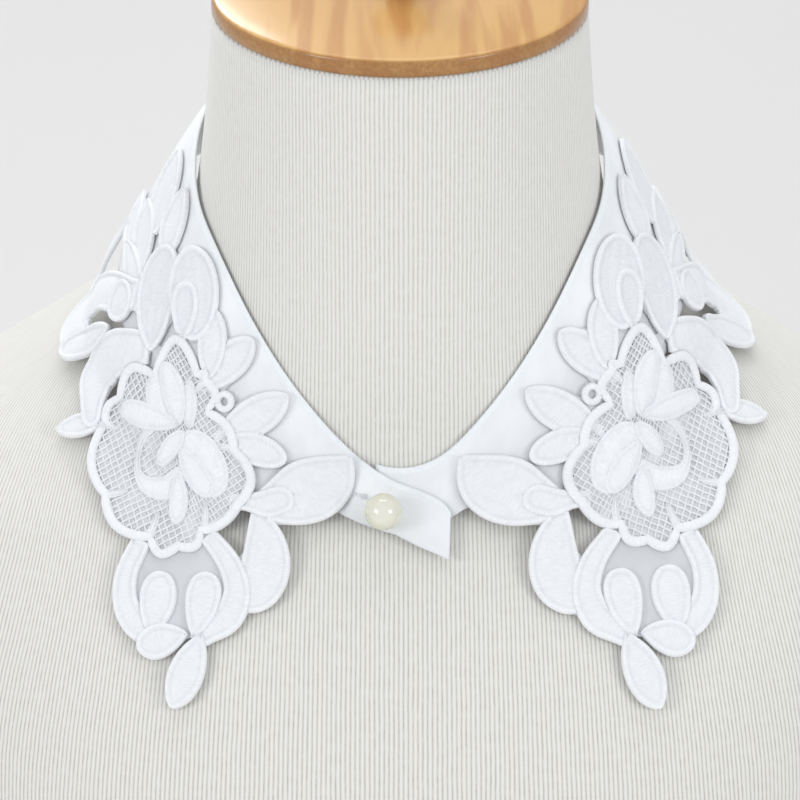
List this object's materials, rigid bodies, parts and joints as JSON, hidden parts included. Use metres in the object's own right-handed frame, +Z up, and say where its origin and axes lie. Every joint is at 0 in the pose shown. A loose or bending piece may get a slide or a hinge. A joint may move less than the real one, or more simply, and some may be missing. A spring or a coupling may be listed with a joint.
{
  "type": "lace collar on a dress form",
  "caption": "Detachable organza collar with floral embroidered lace fronts and a pearl-buttoned tab, worn on a limbless dress form with a wooden neck cap.",
  "frame": {"origin": "middle of the box round the form, on the ground plane that its hem stands on", "axes": "+Z up the form's neck, +X to the wearer's left, -Y to the wearer's front"},
  "size_m": [0.34, 0.244, 0.7295],
  "materials": {
    "dress_form": "off-white ribbed jersey cover",
    "neck_cap": "gloss varnish",
    "neck_knob": "gloss varnish",
    "collar_band": "white organza",
    "lace_front_left": "white satin-stitch lace",
    "lace_front_right": "white satin-stitch lace",
    "pearl_button": "pearl lustre"
  },
  "bodies": {
    "root": {"dress_form": "dress_form", "neck_cap": "neck_cap", "neck_knob": "neck_knob", "collar_band": "collar_band", "lace_front_left": "lace_front_left", "lace_front_right": "lace_front_right", "pearl_button": "pearl_button"}
  },
  "joints": []
}
